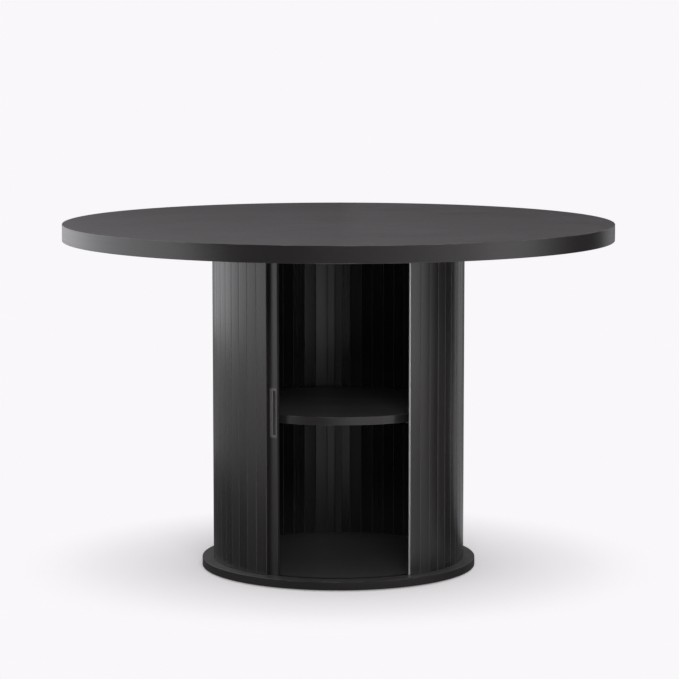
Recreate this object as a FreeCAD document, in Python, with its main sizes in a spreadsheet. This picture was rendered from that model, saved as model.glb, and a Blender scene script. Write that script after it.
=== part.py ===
import FreeCAD
import Part
import Sketcher
import os

# Round pedestal table. The drum under the top is a cabinet of flat staves with a tambour
# door that slides round inside it. Millimetres, floor at z = 0, the opening faces -Y.

SIZES = [
    ("top_diameter", "1200", "tabletop over its edge band"),
    ("top_panel_thickness", "18", "upper board of the tabletop"),
    ("build_up_thickness", "18", "rim segments and centre pad"),
    ("top_band_thickness", "1.5", "edge band of the tabletop"),
    ("top_band_round", "0.9", "rounding of that band's outer edges"),
    ("rim_segments", "8", "pieces in the rim"),
    ("rim_width", "110", "rim from the band to its straight inner edge"),
    ("pad_inset", "10", "centre pad in from the top plate's edge"),
    ("plate_overhang", "25", "top plate past the drum's corners"),
    ("top_plate_thickness", "18", "board that closes the drum"),
    ("plinth_overhang", "25", "plinth past the drum's corners"),
    ("plinth_thickness", "18", "base board"),
    ("board_band_thickness", "1", "edge band of plinth, top plate and shelf"),
    ("board_band_round", "0.6", "rounding of those bands' outer edges"),
    ("drum_diameter", "550", "shell over the outer corners of its staves"),
    ("stave_count", "64", "stave places in a full turn"),
    ("opening_staves", "12", "stave places left out for the opening"),
    ("stave_thickness", "8", "shell wall"),
    ("stave_outer_chamfer", "0.9", "half of the V line outside"),
    ("stave_inner_chamfer", "0.5", "half of the V line inside"),
    ("clear_height", "682", "plinth to top plate"),
    ("post_width", "14", "post along the wall"),
    ("post_depth", "14", "post from wall to room side"),
    ("shelf_inset", "35", "shelf edge in from the drum's corners"),
    ("shelf_thickness", "18", "shelf board"),
    ("shelf_drop", "8", "shelf under the middle of the cabinet"),
    ("peg_diameter", "5", "shelf peg"),
    ("peg_depth", "8", "peg in its post"),
    ("peg_reach", "22", "peg tongue in front of its post"),
    ("peg_tongue_width", "10", "flat tongue under the shelf"),
    ("peg_tongue_thickness", "3", "flat tongue under the shelf"),
    ("peg_rows", "5", "peg holes in each post"),
    ("peg_pitch", "32", "peg hole spacing"),
    ("peg_fit", "0.1", "clearance round the peg"),
    ("door_gap", "3.3", "shell flat to door flat"),
    ("slat_thickness", "8", "door slats and stile"),
    ("slat_gap", "0.3", "between slats at the canvas"),
    ("slat_chamfer", "0.8", "outer edges of slats and stile"),
    ("stile_width", "30", "lead stile"),
    ("stile_reveal", "20", "stile past the jamb with the door open"),
    ("stile_overlap", "1.6", "stile behind the far jamb with the door closed"),
    ("canvas_thickness", "0.8", "cloth glued to the slats"),
    ("canvas_margin", "6", "cloth short of floor and ceiling"),
    ("canvas_on_stile", "5", "cloth on the stile"),
    ("lower_groove_depth", "8", "track groove in the plinth"),
    ("upper_groove_depth", "10", "track groove in the top plate"),
    ("track_wall", "1.2", "side walls of the track"),
    ("track_floor", "1", "web of the track"),
    ("track_clearance", "0.5", "door to track walls"),
    ("track_fit", "0.1", "track in its groove"),
    ("track_end_room", "5", "track past the door's ends"),
    ("slat_float", "0.3", "door above the track's floor"),
    ("upper_engagement", "6", "slats in the upper track"),
    ("buffer_length", "3.5", "rubber block in the track's end"),
    ("buffer_height", "5", "rubber block in the track's end"),
    ("pull_length", "105", "finger pull flange"),
    ("pull_width", "17", "finger pull flange"),
    ("pull_inset", "1.5", "flange from the stile's lead edge"),
    ("pull_rise", "7.5", "pull over the middle of the cabinet"),
    ("pull_flange", "0.8", "flange proud of the stile"),
    ("pull_margin", "0.6", "flange past the mortise"),
    ("pull_depth", "7.4", "pull in the stile"),
    ("pull_fit", "0.15", "pull in its mortise"),
    ("pull_rib_width", "5", "raised rib on the pull"),
    ("pull_rib_rise", "1", "rib over the flange"),
    ("pull_groove_width", "1.4", "thin groove beside the rib"),
    ("pull_groove_depth", "0.9", "thin groove beside the rib"),
    ("pull_lip", "1.6", "lip between groove and finger cup"),
    ("pull_cup_width", "7", "finger cup"),
    ("pull_cup_depth", "6.4", "finger cup under the flange's face"),
    ("pull_end_margin", "5", "flange past the cup at each end"),
    ("bolt_inset", "100", "tabletop bolts in from the top plate's edge"),
    ("bolt_count", "6", "tabletop bolts"),
    ("bolt_diameter", "6", "bolt shank"),
    ("bolt_grip", "12", "bolt in the insert"),
    ("bolt_head_diameter", "11", "button head"),
    ("bolt_head_height", "4", "button head"),
    ("bolt_socket", "4", "hex socket across corners"),
    ("bolt_socket_depth", "2.4", "hex socket"),
    ("bolt_hole_fit", "0.3", "bolt in plate and washer"),
    ("bolt_insert_fit", "0.1", "bolt in the insert's bore"),
    ("washer_diameter", "18", "washer"),
    ("washer_thickness", "1.6", "washer"),
    ("insert_diameter", "10", "threaded insert"),
    ("insert_length", "13", "threaded insert"),
    ("insert_fit", "0.1", "insert in the pad"),
    ("screw_diameter", "4", "post screw shank"),
    ("screw_grip", "36", "screw in the post"),
    ("screw_head_diameter", "8", "post screw head"),
    ("screw_head_height", "3", "post screw head"),
    ("screw_head_recess", "5", "counterbore for the head"),
    ("screw_fit", "0.2", "clearance round the screw"),
    ("glide_diameter", "34", "floor glide"),
    ("glide_height", "3", "floor glide"),
    ("glide_inset", "32", "floor glides in from the plinth's edge"),
    ("glide_count", "8", "floor glides"),
    ("glide_chamfer", "0.8", "lower edge of a glide"),
]

doc = FreeCAD.newDocument("kitchen_table")
sheet = doc.addObject("Spreadsheet::Sheet", "Sizes")
for row, (alias, number, note) in enumerate(SIZES, start=1):
    sheet.set(f"A{row}", alias)
    sheet.set(f"B{row}", number)
    sheet.setAlias(f"B{row}", alias)
    sheet.set(f"C{row}", note)
doc.recompute()

nodes = []


def value(text):
    result = sheet.evalExpression(text)
    return float(getattr(result, "Value", result))


def count(alias):
    return int(round(value(f"Sizes.{alias}")))


# Sketch helpers. Every corner is tied to the sheet.


def new_body(label):
    return doc.addObject("PartDesign::Body", label)


def node(piece):
    nodes.append(piece)
    return piece


def sketch_on(body, name, role, offset="0"):
    sketch = body.newObject("Sketcher::SketchObject", f"{body.Label}_{name}")
    plane = [face for face in body.Origin.OriginFeatures if face.Role == role][0]
    sketch.AttachmentSupport = [(plane, "")]
    sketch.MapMode = "FlatFace"
    if offset != "0":
        sketch.setExpression("AttachmentOffset.Base.z", offset)
    return sketch


def place_point(sketch, index, end, x, y):
    for kind, axis, text in (("DistanceX", -2, x), ("DistanceY", -1, y)):
        if text == "0":
            sketch.addConstraint(Sketcher.Constraint("PointOnObject", index, end, axis))
        else:
            rule = Sketcher.Constraint(kind, -1, 1, index, end, value(text))
            number = sketch.addConstraint(rule)
            sketch.setExpression(f"Constraints[{number}]", text)


def set_radius(sketch, index, text):
    number = sketch.addConstraint(Sketcher.Constraint("Radius", index, value(text)))
    sketch.setExpression(f"Constraints[{number}]", text)


def polygon(sketch, corners):
    points = [FreeCAD.Vector(value(x), value(y), 0) for x, y in corners]
    total = len(points)
    first = sketch.GeometryCount
    for i in range(total):
        sketch.addGeometry(Part.LineSegment(points[i], points[(i + 1) % total]))
    for i in range(total):
        after = first + (i + 1) % total
        sketch.addConstraint(Sketcher.Constraint("Coincident", first + i, 2, after, 1))
    for i, (x, y) in enumerate(corners):
        place_point(sketch, first + i, 1, x, y)


def circle(sketch, radius, x="0", y="0"):
    centre = FreeCAD.Vector(value(x), value(y), 0)
    up = FreeCAD.Vector(0, 0, 1)
    index = sketch.addGeometry(Part.Circle(centre, up, value(radius)))
    place_point(sketch, index, 3, x, y)
    set_radius(sketch, index, radius)


def arc(sketch, radius, start, end):
    ring = Part.Circle(FreeCAD.Vector(0, 0, 0), FreeCAD.Vector(0, 0, 1), value(radius))
    low = value(f"{start} * pi / 180")
    high = value(f"{end} * pi / 180")
    index = sketch.addGeometry(Part.ArcOfCircle(ring, low, high))
    sketch.addConstraint(Sketcher.Constraint("Coincident", index, 3, -1, 1))
    set_radius(sketch, index, radius)
    for side, angle in ((1, start), (2, end)):
        text = f"{radius} * sin({angle} * 1 deg)"
        rule = Sketcher.Constraint("DistanceY", -1, 1, index, side, value(text))
        number = sketch.addConstraint(rule)
        sketch.setExpression(f"Constraints[{number}]", text)
    return index


def join(sketch, one, one_end, two, two_end):
    index = sketch.addGeometry(
        Part.LineSegment(sketch.getPoint(one, one_end), sketch.getPoint(two, two_end))
    )
    sketch.addConstraint(Sketcher.Constraint("Coincident", index, 1, one, one_end))
    sketch.addConstraint(Sketcher.Constraint("Coincident", index, 2, two, two_end))
    return index


def sector(sketch, inner, outer, start, end):
    near = arc(sketch, inner, start, end)
    far = arc(sketch, outer, start, end)
    join(sketch, near, 1, far, 1)
    join(sketch, near, 2, far, 2)


def rectangle(sketch, x0, x1, y0, y1):
    polygon(sketch, [(x0, y0), (x1, y0), (x1, y1), (x0, y1)])


def pad(body, sketch, length):
    feature = body.newObject("PartDesign::Pad", f"{sketch.Label}_pad")
    feature.Profile = sketch
    feature.setExpression("Length", length)
    doc.recompute()
    return feature


def pocket(body, sketch, length, reverse=False):
    feature = body.newObject("PartDesign::Pocket", f"{sketch.Label}_pocket")
    feature.Profile = sketch
    feature.Reversed = reverse
    feature.setExpression("Length", length)
    doc.recompute()
    return feature


def pad_back(body, sketch, length):
    feature = body.newObject("PartDesign::Pad", f"{sketch.Label}_pad")
    feature.Profile = sketch
    feature.Reversed = True
    feature.setExpression("Length", length)
    doc.recompute()
    return feature


def edges_where(feature, test):
    names = []
    for number, edge in enumerate(feature.Shape.Edges, start=1):
        if test(edge):
            names.append(f"Edge{number}")
    return names


def dress(body, kind, feature, test, size):
    work = body.newObject(f"PartDesign::{kind}", f"{body.Label}_{kind.lower()}")
    work.Base = (feature, edges_where(feature, test))
    field = "Radius" if kind == "Fillet" else "Size"
    work.setExpression(field, size)
    doc.recompute()
    return work


def upright(edge):
    ends = [vertex.Point for vertex in edge.Vertexes]
    if len(ends) != 2:
        return False
    level = abs(ends[0].x - ends[1].x) + abs(ends[0].y - ends[1].y)
    return level < 1e-4 and abs(ends[0].z - ends[1].z) > 1


def around(body, feature, sketch, copies):
    pattern = body.newObject("PartDesign::PolarPattern", f"{feature.Label}_ring")
    pattern.Originals = [feature]
    pattern.Axis = (sketch, ["N_Axis"])
    pattern.Angle = 360
    pattern.setExpression("Occurrences", copies)
    body.Tip = pattern
    doc.recompute()
    return pattern


def turned(piece, angle):
    piece.setExpression("Placement.Rotation.Angle", f"({angle} - 90) * 1 deg")


def group(label, master, angles):
    copies = []
    for number, angle in enumerate(angles, start=1):
        copy = doc.addObject("App::Link", f"{label}_{number:02d}")
        copy.LinkedObject = master
        copy.LinkTransform = True
        turned(copy, angle)
        copies.append(copy)
    compound = doc.addObject("Part::Compound", label)
    compound.Links = copies
    return node(compound)


def disc(label, radius, bottom, height):
    body = new_body(label)
    outline = sketch_on(body, "outline", "XY_Plane", bottom)
    circle(outline, radius)
    pad(body, outline, height)
    return node(body)


def band(label, diameter, thickness, bottom, height, rounding):
    body = new_body(label)
    outline = sketch_on(body, "outline", "XY_Plane", bottom)
    circle(outline, f"{diameter} / 2")
    circle(outline, f"{diameter} / 2 - {thickness}")
    ring = pad(body, outline, height)
    outer = value(f"{diameter} / 2")
    dress(
        body,
        "Fillet",
        ring,
        lambda edge: hasattr(edge.Curve, "Radius") and abs(edge.Curve.Radius - outer) < 1e-3,
        rounding,
    )
    return node(body)


# Levels from the floor up.

FLOOR = "(Sizes.glide_height + Sizes.plinth_thickness)"
CEILING = f"({FLOOR} + Sizes.clear_height)"
LAYER = f"({CEILING} + Sizes.top_plate_thickness)"
PANEL = f"({LAYER} + Sizes.build_up_thickness)"
SHELF_MIDDLE = "((Sizes.clear_height - Sizes.shelf_thickness) / 2 - Sizes.shelf_drop)"
SHELF = f"({FLOOR} + {SHELF_MIDDLE})"

# Round boards follow the drum.

PLATE = "(Sizes.drum_diameter + 2 * Sizes.plate_overhang)"
PLINTH = "(Sizes.drum_diameter + 2 * Sizes.plinth_overhang)"
SHELF_DIAMETER = "(Sizes.drum_diameter - 2 * Sizes.shelf_inset)"
BOLT_RADIUS = f"({PLATE} / 2 - Sizes.bolt_inset)"

# Angles are in degrees from the middle of the opening, to the right as seen from there.

PITCH = "(360 / Sizes.stave_count)"
HALF_PITCH = "(180 deg / Sizes.stave_count)"
JAMB = "(Sizes.opening_staves * 180 / Sizes.stave_count)"

# Distances from the drum's axis to the flats of shell and door.

STAVE_OUT = f"(Sizes.drum_diameter / 2 * cos({HALF_PITCH}))"
STAVE_IN = f"({STAVE_OUT} - Sizes.stave_thickness)"
CORNER_IN = f"({STAVE_IN} / cos({HALF_PITCH}))"
POST_IN = f"({CORNER_IN} - Sizes.post_depth)"
DOOR_OUT = f"({STAVE_IN} - Sizes.door_gap)"
DOOR_IN = f"({DOOR_OUT} - Sizes.slat_thickness)"

# The door's ends, open and closed.

TURN = f"(180 / pi / {DOOR_OUT})"
LEAD_OPEN = f"({JAMB} - Sizes.stile_reveal * {TURN})"
LEAD_CLOSED = f"({JAMB} + Sizes.stile_overlap * {TURN})"
FIRST_SLAT = f"({LEAD_OPEN} + (Sizes.stile_width + Sizes.slat_gap) * {TURN})"
TRAIL_OPEN = f"({FIRST_SLAT} + Sizes.opening_staves * {PITCH})"
TRACK_FROM = f"(-{TRAIL_OPEN} - Sizes.track_end_room * {TURN})"
TRACK_TO = f"({LEAD_CLOSED} + Sizes.track_end_room * {TURN})"

# Tabletop: a panel, a rim of straight-backed segments and a centre pad under it, and a
# band round the edge of both layers.

TOP_CORE = "(Sizes.top_diameter / 2 - Sizes.top_band_thickness)"
disc("tabletop_panel", TOP_CORE, PANEL, "Sizes.top_panel_thickness")
band(
    "tabletop_edge_band",
    "Sizes.top_diameter",
    "Sizes.top_band_thickness",
    LAYER,
    "Sizes.build_up_thickness + Sizes.top_panel_thickness",
    "Sizes.top_band_round",
)
for number in range(count("rim_segments")):
    segment = new_body(f"rim_segment_{number + 1}")
    outline = sketch_on(segment, "outline", "XY_Plane", LAYER)
    half = "(180 / Sizes.rim_segments)"
    rim = arc(outline, TOP_CORE, f"-{half}", half)
    back = f"({TOP_CORE} - Sizes.rim_width)"
    rise = f"{back} * tan({half} * 1 deg)"
    start = FreeCAD.Vector(value(back), -value(rise), 0)
    finish = FreeCAD.Vector(value(back), value(rise), 0)
    inner = outline.addGeometry(Part.LineSegment(start, finish))
    place_point(outline, inner, 1, back, f"-{rise}")
    place_point(outline, inner, 2, back, rise)
    join(outline, inner, 1, rim, 1)
    join(outline, inner, 2, rim, 2)
    pad(segment, outline, "Sizes.build_up_thickness")
    turned(segment, f"{number} * 360 / Sizes.rim_segments")
    node(segment)

centre_pad = disc(
    "centre_pad", f"({PLATE} / 2 - Sizes.pad_inset)", LAYER, "Sizes.build_up_thickness"
)
holes = sketch_on(centre_pad, "insert_hole", "XY_Plane", LAYER)
circle(holes, "Sizes.insert_diameter / 2 + Sizes.insert_fit", BOLT_RADIUS)
cut = pocket(centre_pad, holes, "Sizes.build_up_thickness", True)
around(centre_pad, cut, holes, "Sizes.bolt_count")

# Fixed staves are counted from the right jamb round the back to the left jamb and come in
# four panels. Posts stand on the joints between panels, one more just inside the right jamb.

fixed = count("stave_count") - count("opening_staves")
breaks = [round(fixed * quarter / 4) for quarter in range(5)]
POSTS = [
    ("post_right_front", f"({JAMB} + {PITCH})"),
    ("post_right_back", f"({JAMB} + {breaks[1]} * {PITCH})"),
    ("post_back", f"({JAMB} + {breaks[2]} * {PITCH})"),
    ("post_left_back", f"({JAMB} + {breaks[3]} * {PITCH})"),
]
SCREW_AT = f"({POST_IN} + Sizes.post_depth / 2)"

# Top plate and plinth: equal boards. Each has a curved groove for a door track and
# counterbored holes for the screws that hold the posts.

CHANNEL_IN = f"({DOOR_IN} - Sizes.track_clearance)"
FAR_CORNER = f"sqrt({DOOR_OUT} * {DOOR_OUT} + Sizes.stile_width * Sizes.stile_width / 4)"
CHANNEL_OUT = f"({FAR_CORNER} + Sizes.track_clearance)"
TRACK_IN = f"({CHANNEL_IN} - Sizes.track_wall)"
TRACK_OUT = f"({CHANNEL_OUT} + Sizes.track_wall)"


def screw_holes(body, name, level, radius, depth, reverse):
    sketch = sketch_on(body, name, "XY_Plane", level)
    for label, angle in POSTS:
        x = f"{SCREW_AT} * sin({angle} * 1 deg)"
        y = f"-{SCREW_AT} * cos({angle} * 1 deg)"
        circle(sketch, radius, x, y)
    pocket(body, sketch, depth, reverse)


def drum_board(label, diameter, thickness, bottom, groove_level, groove_depth, upper):
    body = disc(label, f"({diameter} / 2 - Sizes.board_band_thickness)", bottom, thickness)
    groove = sketch_on(body, "groove", "XY_Plane", groove_level)
    inner = f"({TRACK_IN} - Sizes.track_fit)"
    outer = f"({TRACK_OUT} + Sizes.track_fit)"
    sector(groove, inner, outer, f"({TRACK_FROM} - 90)", f"({TRACK_TO} - 90)")
    pocket(body, groove, groove_depth, upper)
    shank = "(Sizes.screw_diameter / 2 + Sizes.screw_fit)"
    screw_holes(body, "shank", bottom, shank, thickness, True)
    head = "(Sizes.screw_head_diameter / 2 + Sizes.screw_fit)"
    outside = f"({bottom} + {thickness})" if upper else bottom
    screw_holes(body, "head", outside, head, "Sizes.screw_head_recess", not upper)
    return body


top_plate = drum_board(
    "top_plate",
    PLATE,
    "Sizes.top_plate_thickness",
    CEILING,
    CEILING,
    "Sizes.upper_groove_depth",
    True,
)
holes = sketch_on(top_plate, "bolt_hole", "XY_Plane", CEILING)
circle(holes, "Sizes.bolt_diameter / 2 + Sizes.bolt_hole_fit", BOLT_RADIUS)
cut = pocket(top_plate, holes, "Sizes.top_plate_thickness", True)
around(top_plate, cut, holes, "Sizes.bolt_count")
drum_board(
    "plinth",
    PLINTH,
    "Sizes.plinth_thickness",
    "Sizes.glide_height",
    FLOOR,
    "Sizes.lower_groove_depth",
    False,
)
band(
    "top_plate_edge_band",
    PLATE,
    "Sizes.board_band_thickness",
    CEILING,
    "Sizes.top_plate_thickness",
    "Sizes.board_band_round",
)
band(
    "plinth_edge_band",
    PLINTH,
    "Sizes.board_band_thickness",
    "Sizes.glide_height",
    "Sizes.plinth_thickness",
    "Sizes.board_band_round",
)

# Door tracks: nylon channels bedded in the grooves, open towards the door.


def track(label, web, inside, lip):
    body = new_body(label)
    profile = sketch_on(body, "profile", "XZ_Plane")
    polygon(
        profile,
        [
            (TRACK_IN, web),
            (TRACK_OUT, web),
            (TRACK_OUT, lip),
            (CHANNEL_OUT, lip),
            (CHANNEL_OUT, inside),
            (CHANNEL_IN, inside),
            (CHANNEL_IN, lip),
            (TRACK_IN, lip),
        ],
    )
    sweep(body, profile, f"({TRACK_TO} - {TRACK_FROM})")
    turned(body, TRACK_FROM)
    return node(body)


def sweep(body, profile, angle):
    feature = body.newObject("PartDesign::Revolution", f"{body.Label}_sweep")
    feature.Profile = profile
    feature.ReferenceAxis = (profile, ["V_Axis"])
    feature.setExpression("Angle", f"{angle} * 1 deg")
    doc.recompute()
    return feature


GROOVE_FLOOR = f"({FLOOR} - Sizes.lower_groove_depth)"
RUNWAY = f"({GROOVE_FLOOR} + Sizes.track_floor)"
GROOVE_ROOF = f"({CEILING} + Sizes.upper_groove_depth)"
track("lower_track", GROOVE_FLOOR, RUNWAY, FLOOR)
track("upper_track", GROOVE_ROOF, f"({GROOVE_ROOF} - Sizes.track_floor)", CEILING)

# Rubber blocks in both ends of the lower track.

buffer = new_body("buffer")
profile = sketch_on(buffer, "profile", "XZ_Plane")
rectangle(
    profile,
    f"{CHANNEL_IN} + Sizes.track_fit",
    f"{CHANNEL_OUT} - Sizes.track_fit",
    RUNWAY,
    f"{RUNWAY} + Sizes.buffer_height",
)
sweep(buffer, profile, f"(Sizes.buffer_length * {TURN})")
group("track_buffers", buffer, [TRACK_FROM, f"({TRACK_TO} - Sizes.buffer_length * {TURN})"])

# Shell: bevelled staves glued edge to edge, with a V line at every joint.

stave = new_body("stave")
outline = sketch_on(stave, "outline", "XY_Plane", FLOOR)
near = f"{STAVE_IN} * tan({HALF_PITCH})"
far = f"{STAVE_OUT} * tan({HALF_PITCH})"
polygon(
    outline,
    [(STAVE_IN, f"-{near}"), (STAVE_OUT, f"-{far}"), (STAVE_OUT, far), (STAVE_IN, near)],
)
solid = pad(stave, outline, "Sizes.clear_height")
middle = value(f"({STAVE_IN} + {STAVE_OUT}) / 2")
solid = dress(
    stave,
    "Chamfer",
    solid,
    lambda edge: upright(edge) and edge.CenterOfMass.x > middle,
    "Sizes.stave_outer_chamfer",
)
dress(
    stave,
    "Chamfer",
    solid,
    lambda edge: upright(edge) and abs(edge.CenterOfMass.x - value(STAVE_IN)) < 1e-3,
    "Sizes.stave_inner_chamfer",
)
PANELS = ["shell_right_front", "shell_right_back", "shell_left_back", "shell_left_front"]
for number, label in enumerate(PANELS):
    places = range(breaks[number], breaks[number + 1])
    group(label, stave, [f"({JAMB} + {place + 0.5} * {PITCH})" for place in places])

# Posts: pointed at the back to sit against two staves, with a row of peg holes.

for label, angle in POSTS:
    post = new_body(label)
    outline = sketch_on(post, "outline", "XY_Plane", FLOOR)
    side = "Sizes.post_width / 2"
    shoulder = f"({CORNER_IN} - {side} * tan({HALF_PITCH}))"
    polygon(
        outline,
        [
            (POST_IN, f"-{side}"),
            (shoulder, f"-{side}"),
            (CORNER_IN, "0"),
            (shoulder, side),
            (POST_IN, side),
        ],
    )
    pad(post, outline, "Sizes.clear_height")
    for name, level, reverse in (("foot_hole", FLOOR, True), ("head_hole", CEILING, False)):
        sketch = sketch_on(post, name, "XY_Plane", level)
        circle(sketch, "Sizes.screw_diameter / 2 + Sizes.screw_fit", SCREW_AT)
        pocket(post, sketch, "Sizes.screw_grip + 2 * Sizes.screw_fit", reverse)
    row = sketch_on(post, "peg_hole", "YZ_Plane", POST_IN)
    lowest = f"{SHELF} - Sizes.peg_diameter / 2 - (Sizes.peg_rows - 1) / 2 * Sizes.peg_pitch"
    circle(row, "Sizes.peg_diameter / 2 + Sizes.peg_fit", "0", lowest)
    cut = pocket(post, row, "Sizes.peg_depth + Sizes.peg_fit", True)
    pattern = post.newObject("PartDesign::LinearPattern", f"{label}_peg_row")
    pattern.Originals = [cut]
    pattern.Direction = (row, ["V_Axis"])
    pattern.setExpression("Length", "(Sizes.peg_rows - 1) * Sizes.peg_pitch")
    pattern.setExpression("Occurrences", "Sizes.peg_rows")
    post.Tip = pattern
    turned(post, angle)
    node(post)

# Screws through plinth and top plate into the ends of the posts.


def cylinder(label, radius, height, x, z):
    piece = doc.addObject("Part::Cylinder", label)
    piece.setExpression("Radius", radius)
    piece.setExpression("Height", height)
    if x != "0":
        piece.setExpression("Placement.Base.x", x)
    piece.setExpression("Placement.Base.z", z)
    return piece


def boolean(kind, label, base, tool):
    piece = doc.addObject(f"Part::{kind}", label)
    piece.Base = base
    piece.Tool = tool
    doc.recompute()
    return piece


def post_screws(label, seat, tip, head_from):
    name = f"{label}_one"
    radius = "Sizes.screw_diameter / 2"
    shank = cylinder(f"{name}_shank", radius, f"{tip} - {seat}", SCREW_AT, seat)
    head = cylinder(
        f"{name}_head",
        "Sizes.screw_head_diameter / 2",
        "Sizes.screw_head_height",
        SCREW_AT,
        head_from,
    )
    screw = boolean("Fuse", name, shank, head)
    group(label, screw, [angle for post, angle in POSTS])


SEAT_LOW = "(Sizes.glide_height + Sizes.screw_head_recess)"
SEAT_HIGH = f"({LAYER} - Sizes.screw_head_recess)"
post_screws(
    "post_screws_lower",
    SEAT_LOW,
    f"({FLOOR} + Sizes.screw_grip)",
    f"{SEAT_LOW} - Sizes.screw_head_height",
)
post_screws("post_screws_upper", f"({CEILING} - Sizes.screw_grip)", SEAT_HIGH, SEAT_HIGH)

# Shelf on four pegs.

disc(
    "shelf",
    f"({SHELF_DIAMETER} / 2 - Sizes.board_band_thickness)",
    SHELF,
    "Sizes.shelf_thickness",
)
band(
    "shelf_edge_band",
    SHELF_DIAMETER,
    "Sizes.board_band_thickness",
    SHELF,
    "Sizes.shelf_thickness",
    "Sizes.board_band_round",
)
pin = doc.addObject("Part::Cylinder", "peg_pin")
pin.Placement = FreeCAD.Placement(
    FreeCAD.Vector(0, 0, 0), FreeCAD.Rotation(FreeCAD.Vector(0, 1, 0), 90)
)
pin.setExpression("Radius", "Sizes.peg_diameter / 2")
pin.setExpression("Height", "Sizes.peg_depth + Sizes.peg_tongue_thickness")
pin.setExpression("Placement.Base.x", f"{POST_IN} - Sizes.peg_tongue_thickness")
pin.setExpression("Placement.Base.z", f"{SHELF} - Sizes.peg_diameter / 2")
tongue = doc.addObject("Part::Box", "peg_tongue")
tongue.setExpression("Length", "Sizes.peg_reach")
tongue.setExpression("Width", "Sizes.peg_tongue_width")
tongue.setExpression("Height", "Sizes.peg_tongue_thickness")
tongue.setExpression("Placement.Base.x", f"{POST_IN} - Sizes.peg_reach")
tongue.setExpression("Placement.Base.y", "-Sizes.peg_tongue_width / 2")
tongue.setExpression("Placement.Base.z", f"{SHELF} - Sizes.peg_tongue_thickness")
peg = boolean("Fuse", "peg", pin, tongue)
group("shelf_pegs", peg, [angle for post, angle in POSTS])

# Door: a smooth lead stile with a finger pull, then slats that meet at the canvas and open
# into V lines outside, their ends running in the tracks.

SLAT_FROM = f"({RUNWAY} + Sizes.slat_float)"
SLAT_TALL = f"({CEILING} + Sizes.upper_engagement - {SLAT_FROM})"
SLAT_HALF = f"({DOOR_IN} * tan({HALF_PITCH}) - Sizes.slat_gap / 2)"
STILE_AT = f"(-{LEAD_OPEN} - Sizes.stile_width / 2 * {TURN})"


def door_board(label, half):
    body = new_body(label)
    outline = sketch_on(body, "outline", "XY_Plane", SLAT_FROM)
    rectangle(outline, DOOR_IN, DOOR_OUT, f"-{half}", half)
    board = pad(body, outline, SLAT_TALL)
    outside = value(DOOR_OUT)
    dress(
        body,
        "Chamfer",
        board,
        lambda edge: upright(edge) and abs(edge.CenterOfMass.x - outside) < 1e-3,
        "Sizes.slat_chamfer",
    )
    return node(body)


stile = door_board("lead_stile", "(Sizes.stile_width / 2)")
PULL_AT = f"({FLOOR} + Sizes.clear_height / 2 + Sizes.pull_rise)"
PULL_RIGHT = "(Sizes.stile_width / 2 - Sizes.pull_inset)"
PULL_LEFT = f"({PULL_RIGHT} - Sizes.pull_width)"
HALF_TALL = "(Sizes.pull_length / 2)"
mortise = sketch_on(stile, "mortise", "YZ_Plane", DOOR_OUT)
rectangle(
    mortise,
    f"{PULL_LEFT} + Sizes.pull_margin - Sizes.pull_fit",
    f"{PULL_RIGHT} - Sizes.pull_margin + Sizes.pull_fit",
    f"{PULL_AT} - {HALF_TALL} + Sizes.pull_margin - Sizes.pull_fit",
    f"{PULL_AT} + {HALF_TALL} - Sizes.pull_margin + Sizes.pull_fit",
)
pocket(stile, mortise, "Sizes.slat_thickness")
turned(stile, STILE_AT)
for number in range(count("opening_staves")):
    slat = door_board(f"door_slat_{number + 1:02d}", SLAT_HALF)
    turned(slat, f"(-{FIRST_SLAT} - {number + 0.5} * {PITCH})")

# Canvas: one cloth on the inside of every slat and the edge of the stile. Its corners are
# counted from the stile to the last slat.

canvas = new_body("door_canvas")
outline = sketch_on(canvas, "outline", "XY_Plane", f"({FLOOR} + Sizes.canvas_margin)")


def cloth_corner(flat, along, angle):
    reach = f"({flat} * cos({angle} * 1 deg) - ({along}) * sin({angle} * 1 deg))"
    across = f"({flat} * sin({angle} * 1 deg) + ({along}) * cos({angle} * 1 deg))"
    return reach, across


CLOTH_IN = f"({DOOR_IN} - Sizes.canvas_thickness)"
slats = count("opening_staves")
outer_line = []
inner_line = []
stile_turn = f"({FIRST_SLAT} + {STILE_AT})"
trailing = "-(Sizes.stile_width / 2 - Sizes.canvas_on_stile)"
outer_line.append(cloth_corner(DOOR_IN, trailing, stile_turn))
inner_line.append(cloth_corner(CLOTH_IN, trailing, stile_turn))
for number in range(slats + 1):
    joint = f"(-{number} * {PITCH})"
    if number == slats:
        joint = f"(-{number - 0.5} * {PITCH})"
        outer_line.append(cloth_corner(DOOR_IN, f"-{SLAT_HALF}", joint))
        inner_line.append(cloth_corner(CLOTH_IN, f"-{SLAT_HALF}", joint))
    else:
        outer_line.append(cloth_corner(f"({DOOR_IN} / cos({HALF_PITCH}))", "0", joint))
        inner_line.append(cloth_corner(f"({CLOTH_IN} / cos({HALF_PITCH}))", "0", joint))
polygon(outline, outer_line + inner_line[::-1])
pad(canvas, outline, "Sizes.clear_height - 2 * Sizes.canvas_margin")
turned(canvas, f"-{FIRST_SLAT}")
node(canvas)

# Finger pull: a flange on the stile, a body let through it, a raised rib, a thin groove
# and a finger cup.

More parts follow.
